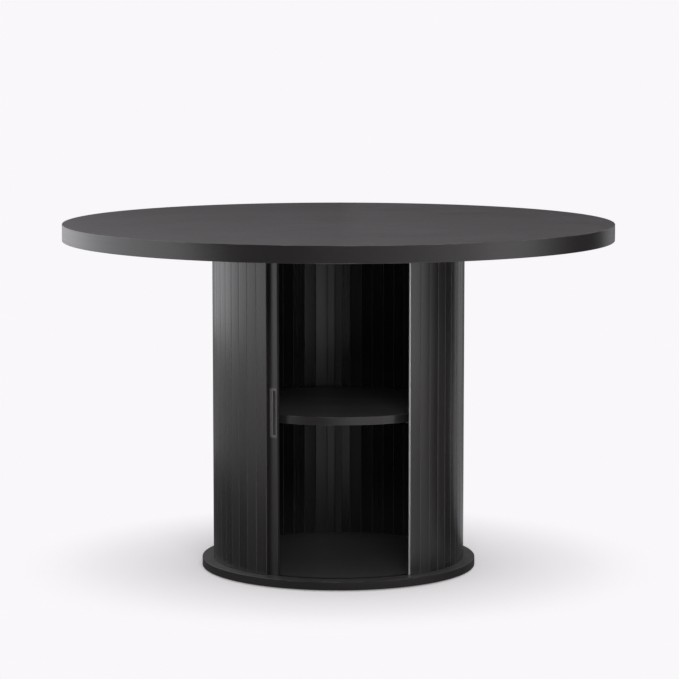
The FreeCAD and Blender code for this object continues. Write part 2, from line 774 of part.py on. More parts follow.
pull = new_body("finger_pull")
flange = sketch_on(pull, "flange", "YZ_Plane", DOOR_OUT)
bottom = f"{PULL_AT} - {HALF_TALL}"
top = f"{PULL_AT} + {HALF_TALL}"
rectangle(flange, PULL_LEFT, PULL_RIGHT, bottom, top)
plate = pad(pull, flange, "Sizes.pull_flange")
FACE = f"({DOOR_OUT} + Sizes.pull_flange)"
rib = sketch_on(pull, "rib", "YZ_Plane", FACE)
inner_top = f"{top} - Sizes.pull_end_margin"
inner_bottom = f"{bottom} + Sizes.pull_end_margin"
RIB_LEFT = f"({PULL_LEFT} + Sizes.pull_rib_rise / 4)"
RIB_RIGHT = f"({RIB_LEFT} + Sizes.pull_rib_width)"
rectangle(rib, RIB_LEFT, RIB_RIGHT, inner_bottom, inner_top)
raised = pad(pull, rib, "Sizes.pull_rib_rise")
crown = value(f"{FACE} + Sizes.pull_rib_rise")
dress(
    pull,
    "Fillet",
    raised,
    lambda edge: upright(edge) and abs(edge.CenterOfMass.x - crown) < 1e-3,
    "Sizes.pull_rib_rise * 0.8",
)
let_in = sketch_on(pull, "body", "YZ_Plane", DOOR_OUT)
rectangle(
    let_in,
    f"{PULL_LEFT} + Sizes.pull_margin",
    f"{PULL_RIGHT} - Sizes.pull_margin",
    f"{bottom} + Sizes.pull_margin",
    f"{top} - Sizes.pull_margin",
)
pad_back(pull, let_in, "Sizes.pull_depth")
groove = sketch_on(pull, "groove", "YZ_Plane", FACE)
GROOVE_RIGHT = f"({RIB_RIGHT} + Sizes.pull_groove_width)"
rectangle(groove, RIB_RIGHT, GROOVE_RIGHT, inner_bottom, inner_top)
pocket(pull, groove, "Sizes.pull_groove_depth")
cup = sketch_on(pull, "cup", "YZ_Plane", FACE)
CUP_LEFT = f"({GROOVE_RIGHT} + Sizes.pull_lip)"
CUP_RIGHT = f"({CUP_LEFT} + Sizes.pull_cup_width)"
rectangle(cup, CUP_LEFT, CUP_RIGHT, inner_bottom, inner_top)
pocket(pull, cup, "Sizes.pull_cup_depth")
turned(pull, STILE_AT)
node(pull)

# Bolts from inside the cabinet through the top plate into inserts in the centre pad.

HEAD_TOP = f"({CEILING} - Sizes.washer_thickness)"
shank = cylinder(
    "bolt_shank",
    "Sizes.bolt_diameter / 2",
    f"{LAYER} + Sizes.bolt_grip - {HEAD_TOP}",
    BOLT_RADIUS,
    HEAD_TOP,
)
head = cylinder(
    "bolt_head",
    "Sizes.bolt_head_diameter / 2",
    "Sizes.bolt_head_height",
    BOLT_RADIUS,
    f"{HEAD_TOP} - Sizes.bolt_head_height",
)
blank = boolean("Fuse", "bolt_blank", shank, head)
socket = doc.addObject("Part::Prism", "bolt_socket")
socket.Polygon = 6
socket.setExpression("Circumradius", "Sizes.bolt_socket / 2")
socket.setExpression("Height", "Sizes.bolt_socket_depth")
socket.setExpression("Placement.Base.x", BOLT_RADIUS)
socket.setExpression("Placement.Base.z", f"{HEAD_TOP} - Sizes.bolt_head_height")
bolt = boolean("Cut", "bolt", blank, socket)


def ring_of(label, outer, inner, height, x, z):
    body = cylinder(f"{label}_body", outer, height, x, z)
    bore = cylinder(f"{label}_bore", inner, height, x, z)
    return boolean("Cut", label, body, bore)


washer = ring_of(
    "washer",
    "Sizes.washer_diameter / 2",
    "Sizes.bolt_diameter / 2 + Sizes.bolt_hole_fit",
    "Sizes.washer_thickness",
    BOLT_RADIUS,
    HEAD_TOP,
)
insert = ring_of(
    "insert",
    "Sizes.insert_diameter / 2",
    "Sizes.bolt_diameter / 2 + Sizes.bolt_insert_fit",
    "Sizes.insert_length",
    BOLT_RADIUS,
    LAYER,
)
turns = [f"({number} * 360 / Sizes.bolt_count + 90)" for number in range(count("bolt_count"))]
group("tabletop_bolts", bolt, turns)
group("bolt_washers", washer, turns)
group("threaded_inserts", insert, turns)

# Floor glides under the plinth.

glide = new_body("glide")
outline = sketch_on(glide, "outline", "XY_Plane")
circle(outline, "Sizes.glide_diameter / 2", f"({PLINTH} / 2 - Sizes.glide_inset)")
button = pad(glide, outline, "Sizes.glide_height")
dress(
    glide,
    "Chamfer",
    button,
    lambda edge: hasattr(edge.Curve, "Radius") and edge.CenterOfMass.z < 1e-3,
    "Sizes.glide_chamfer",
)
steps = [f"(({number} + 0.5) * 360 / Sizes.glide_count)" for number in range(count("glide_count"))]
group("floor_glides", glide, steps)

# Rebuild, look at every object, then write one file for each piece.

doc.recompute()
for item in doc.Objects:
    if "Invalid" in item.State or "Error" in item.State:
        raise RuntimeError(f"{item.Label} did not build: {item.State}")
os.makedirs("parts", exist_ok=True)
for piece in nodes:
    shape = piece.Shape
    if shape.isNull() or not shape.isValid():
        raise RuntimeError(f"{piece.Label} has no valid shape")
    shape.exportStep(f"parts/{piece.Label}.step")
print(len(nodes), "pieces written")
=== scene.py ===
import bmesh
import bpy
import math
from mathutils import Matrix, Vector


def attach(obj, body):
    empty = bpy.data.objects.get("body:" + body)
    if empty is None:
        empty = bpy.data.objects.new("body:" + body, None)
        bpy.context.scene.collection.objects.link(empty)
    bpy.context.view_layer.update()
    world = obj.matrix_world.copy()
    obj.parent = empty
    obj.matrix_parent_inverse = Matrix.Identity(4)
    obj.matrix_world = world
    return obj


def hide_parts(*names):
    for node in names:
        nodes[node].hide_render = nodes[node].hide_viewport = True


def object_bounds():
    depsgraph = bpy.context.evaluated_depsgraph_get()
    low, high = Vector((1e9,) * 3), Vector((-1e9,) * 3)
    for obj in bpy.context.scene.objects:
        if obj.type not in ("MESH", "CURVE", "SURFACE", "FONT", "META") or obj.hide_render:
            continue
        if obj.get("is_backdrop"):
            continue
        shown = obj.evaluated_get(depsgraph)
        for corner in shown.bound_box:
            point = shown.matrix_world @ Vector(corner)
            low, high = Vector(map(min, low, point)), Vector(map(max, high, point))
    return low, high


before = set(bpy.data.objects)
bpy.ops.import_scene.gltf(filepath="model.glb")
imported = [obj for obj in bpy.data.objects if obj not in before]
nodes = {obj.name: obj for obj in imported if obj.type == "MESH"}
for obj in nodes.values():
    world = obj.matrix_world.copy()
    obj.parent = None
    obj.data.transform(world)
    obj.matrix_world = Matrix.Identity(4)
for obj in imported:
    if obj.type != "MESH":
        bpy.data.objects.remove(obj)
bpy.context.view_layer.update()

# Camera. The photograph looks straight at the opening from about six metres with a long lens,
# tipped down a little so that the table's top just shows. Its frame is square.
SENSOR_WIDTH = 36.0
LENS = 151.06
CAMERA_PLACE = (0.0023, -6.1916, 1.2403)
CAMERA_TILT = 0.1191
SIGHT_LIMIT = 200.0
studio = bpy.context.scene
studio.view_settings.view_transform = "Standard"
camera_data = bpy.data.cameras.new("photograph")
camera_data.sensor_width = SENSOR_WIDTH
camera_data.lens = LENS
camera_data.clip_end = SIGHT_LIMIT
camera = bpy.data.objects.new("photograph", camera_data)
camera.location = CAMERA_PLACE
camera.rotation_euler = (math.pi / 2 - CAMERA_TILT, 0.0, 0.0)
studio.collection.objects.link(camera)
studio.camera = camera


# Studio floor and room. A white painted floor that runs out into a white room.
# It takes the soft shadow of the top, and is plain white beyond it, as in the photograph.
def linear(code):
    """The linear colour of an sRGB hex value."""
    parts = [int(code[i:i + 2], 16) / 255 for i in (1, 3, 5)]
    return tuple(c / 12.92 if c <= 0.04045 else ((c + 0.055) / 1.055) ** 2.4 for c in parts) + (1.0,)


def add_node(tree, kind, inputs=None, **settings):
    """Adds a node. Its inputs go by name or number, each a value or the output that feeds it."""
    node = tree.nodes.new(kind)
    for name, value in settings.items():
        setattr(node, name, value)
    for name, value in (inputs or {}).items():
        if isinstance(value, bpy.types.NodeSocket):
            tree.links.new(value, node.inputs[name])
        else:
            node.inputs[name].default_value = value
    return node


def new_material(name):
    """A material with an empty tree, and that tree."""
    material = bpy.data.materials.new(name)
    material.use_nodes = True
    material.node_tree.nodes.clear()
    return material, material.node_tree


def link_mesh(name, mesh):
    """A new object for a mesh, at the origin."""
    piece = bpy.data.objects.new(name, mesh)
    studio.collection.objects.link(piece)
    return piece


def seen_directly(tree):
    """One for rays from the camera, from a mirror or through glass, and nothing for the rest."""
    ray = add_node(tree, "ShaderNodeLightPath").outputs
    mirror = add_node(tree, "ShaderNodeMath", {0: ray["Is Camera Ray"], 1: ray["Is Glossy Ray"]},
                      operation="MAXIMUM").outputs[0]
    return add_node(tree, "ShaderNodeMath", {0: mirror, 1: ray["Is Transmission Ray"]},
                    operation="MAXIMUM").outputs[0]


FLOOR_RADIUS = 40.0
FLOOR_SIDES = 96
FADE_FROM = 0.31
FADE_TO = 0.72
FLOOR_COLOUR = linear("#efeced")
ROOM_WHITE = linear("#f9f7fa")
FLOOR_LIFT = 0.28
ROOM_AMBIENT = 0.55

shape = bmesh.new()
bmesh.ops.create_circle(shape, cap_ends=True, segments=FLOOR_SIDES, radius=FLOOR_RADIUS)
floor_mesh = bpy.data.meshes.new("studio_floor")
shape.to_mesh(floor_mesh)
shape.free()
floor = link_mesh("studio_floor", floor_mesh)
floor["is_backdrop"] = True

floor_paint, tree = new_material("white floor paint")
spot = add_node(tree, "ShaderNodeTexCoord").outputs["Object"]
reach = add_node(tree, "ShaderNodeVectorMath", {0: spot}, operation="LENGTH").outputs["Value"]
fade = add_node(tree, "ShaderNodeMapRange",
                {"Value": reach, "From Min": FADE_FROM, "From Max": FADE_TO}).outputs[0]
seen = seen_directly(tree)
lift = add_node(tree, "ShaderNodeMath", {0: seen, 1: FLOOR_LIFT}, operation="MULTIPLY").outputs[0]
matt = add_node(tree, "ShaderNodeBsdfDiffuse", {"Color": FLOOR_COLOUR}).outputs[0]
glow = add_node(tree, "ShaderNodeEmission", {"Color": ROOM_WHITE, "Strength": lift}).outputs[0]
near = add_node(tree, "ShaderNodeAddShader", {0: matt, 1: glow}).outputs[0]
far = add_node(tree, "ShaderNodeEmission", {"Color": ROOM_WHITE, "Strength": 1.0}).outputs[0]
away = add_node(tree, "ShaderNodeMath", {0: fade, 1: seen}, operation="MULTIPLY").outputs[0]
paint = add_node(tree, "ShaderNodeMixShader", {0: away, 1: near, 2: far}).outputs[0]
add_node(tree, "ShaderNodeOutputMaterial", {"Surface": paint})
floor_mesh.materials.append(floor_paint)

room = bpy.data.worlds.new("white room")
room.use_nodes = True
studio.world = room
tree = room.node_tree
tree.nodes.clear()
dim = add_node(tree, "ShaderNodeBackground", {"Color": ROOM_WHITE, "Strength": ROOM_AMBIENT}).outputs[0]
white = add_node(tree, "ShaderNodeBackground", {"Color": ROOM_WHITE, "Strength": 1.0}).outputs[0]
walls = add_node(tree, "ShaderNodeMixShader", {0: seen_directly(tree), 1: dim, 2: white}).outputs[0]
add_node(tree, "ShaderNodeOutputWorld", {"Surface": walls})

# Lamps. A wide soft light overhead, and another high in front.
# Each row gives the place, what it points at, its width and height, and its power.
# The table's gloss shows the cards below and not the lamps.
LAMPS = [
    ("overhead", (0.0, -0.1, 3.0), (0.0, 0.0, 0.0), 1.5, 1.5, 50.0),
    ("front_key", (0.39, -3.78, 2.37), (0.0, -0.1, 0.4), 1.8, 1.2, 65.0),
]
for name, place, aim, width, height, watts in LAMPS:
    lamp = bpy.data.lights.new(name, "AREA")
    lamp.shape = "RECTANGLE"
    lamp.size = width
    lamp.size_y = height
    lamp.energy = watts
    holder = bpy.data.objects.new(name, lamp)
    holder.location = place
    holder.rotation_euler = (Vector(aim) - Vector(place)).to_track_quat("-Z", "Y").to_euler()
    holder.visible_camera = False
    holder.visible_glossy = False
    studio.collection.objects.link(holder)

# Cards, the white, grey and black boards that stand round a black table in a studio.
# Only its gloss shows them. Each row gives a card's two bearings from the front, the distance and
# level of its near or lower edge and of its far or upper one, and how bright its two ends are.
# The cards are no lamps and glow at the brightness given: painted light seen only in the gloss. The floor
# cards stand for the floor there, and their dark parts are painted shade.
CARDS = [
    ("back_left_card", -180, -150, 1.6, 0.72, 1.6, 2.2, 0.12, 0.2),
    ("low_back_left_card", -180, -165, 1.6, 0.0, 1.6, 0.72, 0.5, 0.2),
    ("low_left_card", -165, -150, 1.6, 0.0, 1.6, 0.72, 0.15, 0.2),
    ("left_white_card", -150, -115, 1.6, 0.35, 1.6, 2.2, 0.7, 2.0),
    ("left_front_white_card", -115, -50, 1.6, 0.35, 1.6, 2.2, 2.2, 2.2),
    ("left_grey_card", -150, -50, 1.6, 0.0, 1.6, 0.35, 0.25, 1.0),
    ("front_black_card", -50, -8, 1.6, 0.0, 1.6, 2.2, 0.01, 0.01),
    ("front_left_white_card", -50, -40, 1.55, 0.3, 1.55, 0.62, 2.4, 2.0),
    ("front_dim_card", -8, 20, 3.0, 0.0, 3.0, 3.0, 0.0, 0.36),
    ("front_grey_card", 20, 55, 3.0, 0.0, 3.0, 3.0, 0.36, 1.25),
    ("cabinet_card", 5, 27, 1.0, 0.30, 1.0, 0.58, 1.2, 1.6),
    ("right_white_card", 55, 80, 3.0, 0.0, 3.0, 3.0, 2.1, 1.7),
    ("right_grey_card", 80, 98, 3.0, 0.0, 3.0, 3.0, 0.8, 0.05),
    ("right_black_card", 98, 130, 3.0, 0.0, 3.0, 3.0, 0.04, 0.04),
    ("back_grey_card", 130, 150, 3.0, 0.0, 3.0, 3.0, 0.7, 0.5),
    ("back_dim_card", 150, 164, 3.0, 0.0, 3.0, 3.0, 0.3, 0.03),
    ("back_card", 164, 180, 3.0, 0.72, 3.0, 3.0, 0.03, 0.06),
    ("low_back_card", 164, 180, 3.0, 0.0, 3.0, 0.72, 0.05, 0.5),
    # A ring of painted shade round the plinth, where the top shades the floor.
    ("near_floor_card", -180, 180, 0.302, 0.001, 0.5, 0.001, 0.1, 0.1),
    ("back_left_floor_card", -180, -150, 0.5, 0.001, 1.6, 0.001, 0.25, 0.15),
    ("left_floor_card", -150, -50, 0.5, 0.001, 1.6, 0.001, 0.08, 0.08),
    ("front_left_floor_card", -50, -8, 0.5, 0.001, 1.6, 0.001, 0.28, 0.28),
    ("front_floor_card", -8, 55, 0.5, 0.001, 3.0, 0.001, 0.9, 1.0),
    ("right_floor_card", 55, 88, 0.5, 0.001, 3.0, 0.001, 0.7, 0.25),
    ("right_black_floor_card", 88, 120, 0.5, 0.001, 3.0, 0.001, 0.04, 0.04),
    ("right_back_floor_card", 120, 148, 0.42, 0.001, 3.0, 0.001, 0.5, 0.5),
    ("back_floor_card", 148, 180, 0.5, 0.001, 3.0, 0.001, 0.2, 0.25),
]
CARD_STEPS = 36
graded, tree = new_material("studio card")
glow = add_node(tree, "ShaderNodeAttribute", attribute_name="glow").outputs["Fac"]
lit = add_node(tree, "ShaderNodeEmission", {"Color": ROOM_WHITE, "Strength": glow}).outputs[0]
add_node(tree, "ShaderNodeOutputMaterial", {"Surface": lit})
for name, start, end, near, low, far, high, first, last in CARDS:
    row = CARD_STEPS + 1
    corners = []
    for reach, level in ((near, low), (far, high)):
        for i in range(row):
            a = math.radians(start + (end - start) * i / CARD_STEPS)
            corners.append((reach * math.sin(a), -reach * math.cos(a), level))
    mesh = bpy.data.meshes.new(name)
    mesh.from_pydata(corners, [], [(i, i + 1, i + 1 + row, i + row) for i in range(CARD_STEPS)])
    glows = mesh.attributes.new("glow", "FLOAT", "POINT")
    glows.data.foreach_set("value", [first + (last - first) * i / CARD_STEPS for i in range(row)] * 2)
    mesh.materials.append(graded)
    card = link_mesh(name, mesh)
    card.visible_camera = False
    card.visible_shadow = False
    card.visible_diffuse = False
    card.visible_transmission = False
    card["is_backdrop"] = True


# Floor glides. Eight round nylon discs pinned under the plinth, so that it slides and
# stands clear of a wet floor. Moulded, with a dished middle and a rounded lower edge.
MM = 0.001
ARRIS_ANGLE = math.radians(30)
SHARP_ANGLE = math.radians(32)
TURN_STEPS = 40

ring = bpy.data.node_groups.new("ring round the drum", "GeometryNodeTree")
ring_inputs = {}
for label, kind in (("Piece", "Object"), ("Count", "Int"), ("First Angle", "Float"),
                    ("Pitch Angle", "Float"), ("First Shift", "Float"), ("Radius", "Float"),
                    ("Level", "Float"), ("Seed", "Int")):
    socket = ring.interface.new_socket(label, in_out="INPUT", socket_type="NodeSocket" + kind)
    ring_inputs[label] = socket.identifier
ring.interface.new_socket("Geometry", in_out="OUTPUT", socket_type="NodeSocketGeometry")
entry = add_node(ring, "NodeGroupInput").outputs
number = add_node(ring, "GeometryNodeInputIndex").outputs[0]
even = add_node(ring, "ShaderNodeMath", {0: number, 1: entry["Pitch Angle"], 2: entry["First Angle"]},
                operation="MULTIPLY_ADD").outputs[0]
is_first = add_node(ring, "ShaderNodeMath", {0: number, 1: 0.5}, operation="LESS_THAN").outputs[0]
angle = add_node(ring, "ShaderNodeMath", {0: is_first, 1: entry["First Shift"], 2: even},
                 operation="MULTIPLY_ADD").outputs[0]
sine = add_node(ring, "ShaderNodeMath", {0: angle}, operation="SINE").outputs[0]
cosine = add_node(ring, "ShaderNodeMath", {0: angle}, operation="COSINE").outputs[0]
behind = add_node(ring, "ShaderNodeMath", {0: entry["Radius"], 1: -1.0}, operation="MULTIPLY").outputs[0]
x = add_node(ring, "ShaderNodeMath", {0: sine, 1: entry["Radius"]}, operation="MULTIPLY").outputs[0]
y = add_node(ring, "ShaderNodeMath", {0: cosine, 1: behind}, operation="MULTIPLY").outputs[0]
spot = add_node(ring, "ShaderNodeCombineXYZ", {0: x, 1: y, 2: entry["Level"]}).outputs[0]
turn = add_node(ring, "FunctionNodeAxisAngleToRotation",
                {"Axis": (0.0, 0.0, 1.0), "Angle": angle}).outputs[0]
spots = add_node(ring, "GeometryNodePoints", {"Count": entry["Count"], "Position": spot}).outputs[0]
master = add_node(ring, "GeometryNodeObjectInfo", {"Object": entry["Piece"]}).outputs["Geometry"]
copies = add_node(ring, "GeometryNodeInstanceOnPoints",
                  {"Points": spots, "Instance": master, "Rotation": turn}).outputs[0]
chance = add_node(ring, "FunctionNodeRandomValue", {"ID": number, "Seed": entry["Seed"]},
                  data_type="FLOAT").outputs[1]
toned = add_node(ring, "GeometryNodeStoreNamedAttribute",
                 {"Geometry": copies, "Name": "tone", "Value": chance},
                 domain="INSTANCE", data_type="FLOAT").outputs[0]
real = add_node(ring, "GeometryNodeRealizeInstances", {0: toned}).outputs[0]
add_node(ring, "NodeGroupOutput", {0: real})


def settle(piece):
    """Turns a piece and its modifiers into one plain mesh."""
    bpy.context.view_layer.update()
    done = piece.evaluated_get(bpy.context.evaluated_depsgraph_get())
    mesh = bpy.data.meshes.new_from_object(done)
    piece.modifiers.clear()
    spare = piece.data
    piece.data = mesh
    bpy.data.meshes.remove(spare)
    mesh.name = piece.name


def soften(piece, arris, segments=2):
    """Rounds a piece's arrises and keeps its faces flat. A second finish goes on the arrises alone."""
    bevel = piece.modifiers.new("arris", "BEVEL")
    bevel.material = len(piece.data.materials) - 1
    bevel.width = arris * MM
    bevel.segments = segments
    bevel.limit_method = "ANGLE"
    bevel.angle_limit = ARRIS_ANGLE
    bevel.harden_normals = True


def ring_of(name, piece, finish, count, first, pitch, radius=0.0, level=0.0, shift=0.0, arris=0.0,
            rubbed=None):
    """Copies of a piece round the drum's axis as one plain mesh. Angles run from the opening
    towards +X, and the shift moves the first copy alone."""
    piece.data.materials.clear()
    piece.data.materials.append(finish)
    holder = link_mesh(name, bpy.data.meshes.new(name))
    holder.data.materials.append(finish)
    if rubbed:
        holder.data.materials.append(rubbed)
    row = holder.modifiers.new("ring", "NODES")
    row.node_group = ring
    values = {"Piece": piece, "Count": count, "First Angle": math.radians(first),
              "Pitch Angle": math.radians(pitch), "First Shift": math.radians(shift),
              "Radius": radius * MM, "Level": level * MM, "Seed": len(name)}
    for label, value in values.items():
        row[ring_inputs[label]] = value
    if arris:
        soften(holder, arris)
    settle(holder)
    # The copies bring only the piece's own finish, so the one for the arrises is added again.
    if rubbed:
        holder.data.materials.append(rubbed)
    return holder


def stand_for(piece, body, slot, *replaced):
    """Says which body a piece moves with and which solids it stands for. The slot it is given is not used.
    """
    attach(piece, body)
    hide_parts(*replaced)


def smoothed(name, shape):
    """A piece from a shape, with its faces outwards and only its true edges sharp."""
    bmesh.ops.recalc_face_normals(shape, faces=shape.faces)
    mesh = bpy.data.meshes.new(name)
    shape.to_mesh(mesh)
    shape.free()
    mesh.shade_smooth()
    mesh.set_sharp_from_angle(angle=SHARP_ANGLE)
    return link_mesh(name, mesh)


def lathe(shape, profile, steps):
    """Turns a profile of (radius, height) pairs about the upright axis, and gives its rings of corners.
    A pair on the axis is one corner, and a pair that comes twice is one ring."""
    rings = {}
    for r, z in profile:
        turns = [math.tau * k / steps for k in range(steps if r else 1)]
        spots = [(r * MM * math.cos(t), r * MM * math.sin(t), z * MM) for t in turns]
        if (r, z) not in rings:
            corners = [shape.verts.new(spot) for spot in spots]
            rings[r, z] = corners if r else corners * steps
    for start, end in zip(profile, profile[1:]):
        one = rings[start]
        two = rings[end]
        for k in range(steps):
            corners = dict.fromkeys((one[k], one[k - 1], two[k - 1], two[k]))
            shape.faces.new(tuple(corners))
    return [rings[pair] for pair in profile]


def turned(name, profile):
    """A piece turned on a lathe about its own upright axis, from (radius, height) pairs."""
    shape = bmesh.new()
    lathe(shape, profile, TURN_STEPS)
    return smoothed(name, shape)


def scale_for(size):
    """The scale of a pattern whose marks are so many millimetres across."""
    return 1 / (size * MM)


def even_black(name, dark, light, gloss, grain, relief, shine=0.5):
    """Black all through or rolled on: faint clouds in the colour, and a fine skin in gloss and relief.
    The grain of a real skin is below 1 mm and is drawn at 1 to 3 mm, so that it shows."""
    cloud_size = 24.0
    spread = 0.07
    material, tree = new_material(name)
    spot = add_node(tree, "ShaderNodeTexCoord").outputs["Object"]
    skin = add_node(tree, "ShaderNodeTexNoise",
                    {"Vector": spot, "Scale": scale_for(grain), "Detail": 3.0}).outputs[0]
    cloud = add_node(tree, "ShaderNodeTexNoise",
                     {"Vector": spot, "Scale": scale_for(cloud_size), "Detail": 2.0}).outputs[0]
    body = add_node(tree, "ShaderNodeMix", {0: cloud, 6: linear(dark), 7: linear(light)},
                    data_type="RGBA").outputs[2]
    rough = add_node(tree, "ShaderNodeMapRange",
                     {"Value": skin, "To Min": gloss - spread, "To Max": gloss + spread}).outputs[0]
    bump = add_node(tree, "ShaderNodeBump",
                    {"Height": skin, "Strength": 0.4, "Distance": relief * MM}).outputs[0]
    shader = add_node(tree, "ShaderNodeBsdfPrincipled",
                      {"Base Color": body, "Roughness": rough, "Normal": bump, "Specular IOR Level": shine})
    add_node(tree, "ShaderNodeOutputMaterial", {"Surface": shader.outputs[0]})
    return material


GLIDE_PROFILE = [(0, 3), (17, 3), (17, 1.1), (16.6, 0.35), (15.7, 0), (6.2, 0), (5.4, 0.7), (0, 0.7)]
GLIDE_RING = 268.0
GLIDE_COUNT = 8
GLIDE_PITCH = 360 / GLIDE_COUNT
moulded_nylon = even_black("moulded black nylon", "#141414", "#1e1e1e", gloss=0.5, grain=1.5, relief=0.08)
disc = turned("glide", GLIDE_PROFILE)
glides = ring_of("nylon_glides", disc, moulded_nylon, GLIDE_COUNT, GLIDE_PITCH / 2, GLIDE_PITCH,
                 radius=GLIDE_RING)
bpy.data.objects.remove(disc)
stand_for(glides, "table", "glide_nylon", "floor_glides")


# Plinth. A round 18 mm board that is the cabinet's floor too, grooved for the door's track.
# Fibreboard faced with satin black melamine, its rim covered with a thin plastic band.
def laminate(name, dark, light, gloss):
    """Melamine pressed on a pebbled plate. Hands and cloths leave cloudy, streaky changes of gloss.
    The real pebble is 0.4 mm and is drawn at 1.8 mm, so that it shows."""
    pebble_size = 1.8
    cloud_size = 150.0
    wipe_length = 380.0
    wipe_width = 26.0
    wipe_turn = 0.45
    spread = 0.06
    material, tree = new_material(name)
    spot = add_node(tree, "ShaderNodeTexCoord").outputs["Object"]
    pebble = add_node(tree, "ShaderNodeTexNoise",
                      {"Vector": spot, "Scale": scale_for(pebble_size), "Detail": 2.0}).outputs[0]
    cloud = add_node(tree, "ShaderNodeTexNoise",
                     {"Vector": spot, "Scale": scale_for(cloud_size), "Detail": 4.0}).outputs[0]
    along_wipe = (scale_for(wipe_length), scale_for(wipe_width), scale_for(wipe_width))
    sweep = add_node(tree, "ShaderNodeMapping",
                     {"Vector": spot, "Rotation": (0.0, 0.0, wipe_turn), "Scale": along_wipe}).outputs[0]
    wipe = add_node(tree, "ShaderNodeTexNoise", {"Vector": sweep, "Scale": 1.0, "Detail": 3.0}).outputs[0]
    body = add_node(tree, "ShaderNodeMix", {0: cloud, 6: linear(dark), 7: linear(light)},
                    data_type="RGBA").outputs[2]
    marks = add_node(tree, "ShaderNodeMath", {0: cloud, 1: wipe}, operation="ADD").outputs[0]
    rough = add_node(tree, "ShaderNodeMapRange",
                     {"Value": marks, "From Min": 0.6, "From Max": 1.4,
                      "To Min": gloss - spread, "To Max": gloss + spread}).outputs[0]
    bump = add_node(tree, "ShaderNodeBump",
                    {"Height": pebble, "Strength": 0.35, "Distance": 0.06 * MM}).outputs[0]
    shader = add_node(tree, "ShaderNodeBsdfPrincipled",
                      {"Base Color": body, "Roughness": rough, "Normal": bump})
    add_node(tree, "ShaderNodeOutputMaterial", {"Surface": shader.outputs[0]})
    return material


def edge_band(name, low, high):
    """Extruded ABS edging: fine lines run round the rim, and knocks have rubbed its two arrises paler.
    Real lines are about 0.3 mm wide and are drawn at 1.6 mm, so that they show."""
    line_width = 1.6
    line_length = 300.0
    knock_size = 45.0
    worn_from = 1.3
    worn_to = 0.2
    material, tree = new_material(name)
    spot = add_node(tree, "ShaderNodeTexCoord").outputs["Object"]
    level = add_node(tree, "ShaderNodeSeparateXYZ", {0: spot}).outputs[2]
    round_rim = (scale_for(line_length), scale_for(line_length), scale_for(line_width))
    drawn = add_node(tree, "ShaderNodeMapping", {"Vector": spot, "Scale": round_rim}).outputs[0]
    line = add_node(tree, "ShaderNodeTexNoise", {"Vector": drawn, "Scale": 1.0, "Detail": 2.0}).outputs[0]
    knock = add_node(tree, "ShaderNodeTexNoise",
                     {"Vector": spot, "Scale": scale_for(knock_size), "Detail": 5.0}).outputs[0]
    patch = add_node(tree, "ShaderNodeMapRange",
                     {"Value": knock, "From Min": 0.42, "From Max": 0.66}).outputs[0]
    upper = add_node(tree, "ShaderNodeMapRange",
                     {"Value": level, "From Min": (high - worn_from) * MM,
                      "From Max": (high - worn_to) * MM}).outputs[0]
    lower = add_node(tree, "ShaderNodeMapRange",
                     {"Value": level, "From Min": (low + worn_from) * MM,
                      "From Max": (low + worn_to) * MM}).outputs[0]
    arris = add_node(tree, "ShaderNodeMath", {0: upper, 1: lower}, operation="MAXIMUM").outputs[0]
    worn = add_node(tree, "ShaderNodeMath", {0: arris, 1: patch}, operation="MULTIPLY").outputs[0]
    body = add_node(tree, "ShaderNodeMix", {0: worn, 6: linear("#222021"), 7: linear("#4d4b4c")},
                    data_type="RGBA").outputs[2]
    rough = add_node(tree, "ShaderNodeMapRange", {"Value": line, "To Min": 0.26, "To Max": 0.38}).outputs[0]
    bump = add_node(tree, "ShaderNodeBump",
                    {"Height": line, "Strength": 0.3, "Distance": 0.04 * MM}).outputs[0]
    shader = add_node(tree, "ShaderNodeBsdfPrincipled",
                      {"Base Color": body, "Roughness": rough, "Normal": bump})
    add_node(tree, "ShaderNodeOutputMaterial", {"Surface": shader.outputs[0]})
    return material


def dress(node, material):
    """Gives a solid that keeps its shape its finish."""
    nodes[node].material_slots[0].material = material


PLINTH_UNDERSIDE = 3.0
CABINET_FLOOR = 21.0
# This melamine is lighter than the tabletop's: painted light for the shaded cabinet, on plinth, shelf and
# top plate.
board_laminate_painted_lighter = laminate("black melamine board", "#413f40", "#494748", gloss=0.42)
dress("plinth", board_laminate_painted_lighter)
dress("plinth_edge_band", edge_band("plinth ABS edging", PLINTH_UNDERSIDE, CABINET_FLOOR))


# Lower track and its buffers. A black nylon channel let into the plinth, in which the door's
# slats run, with a small rubber block at each end. Extruded straight and bent to the curve.
def softened(name, node, body, slot, finish, arris, segments=2, rubbed=None):
    """A copy of a solid with its arrises rounded, which stands for it."""
    source = nodes[node].data
    mesh = bpy.data.meshes.new(name)
    mesh.from_pydata([v.co for v in source.vertices], [], [tuple(p.vertices) for p in source.polygons])
    shape = bmesh.new()
    shape.from_mesh(mesh)
    bmesh.ops.remove_doubles(shape, verts=shape.verts, dist=2e-6)
    bmesh.ops.dissolve_limit(shape, angle_limit=math.radians(0.4), verts=shape.verts, edges=shape.edges)
    shape.to_mesh(mesh)
    shape.free()
    mesh.materials.append(finish)
    if rubbed:
        mesh.materials.append(rubbed)
    mesh.shade_smooth()
    piece = link_mesh(name, mesh)
    soften(piece, arris, segments)
    settle(piece)
    stand_for(piece, body, slot, node)


track_nylon = even_black("extruded black nylon", "#101010", "#181818", gloss=0.46, grain=2.2, relief=0.05)
buffer_rubber = even_black("moulded black rubber", "#131313", "#1c1c1c", gloss=0.72, grain=1.2, relief=0.08)
softened("nylon_lower_track", "lower_track", "table", "track_nylon", track_nylon, arris=0.2)
softened("rubber_buffers", "track_buffers", "table", "buffer_rubber", buffer_rubber, arris=0.4)


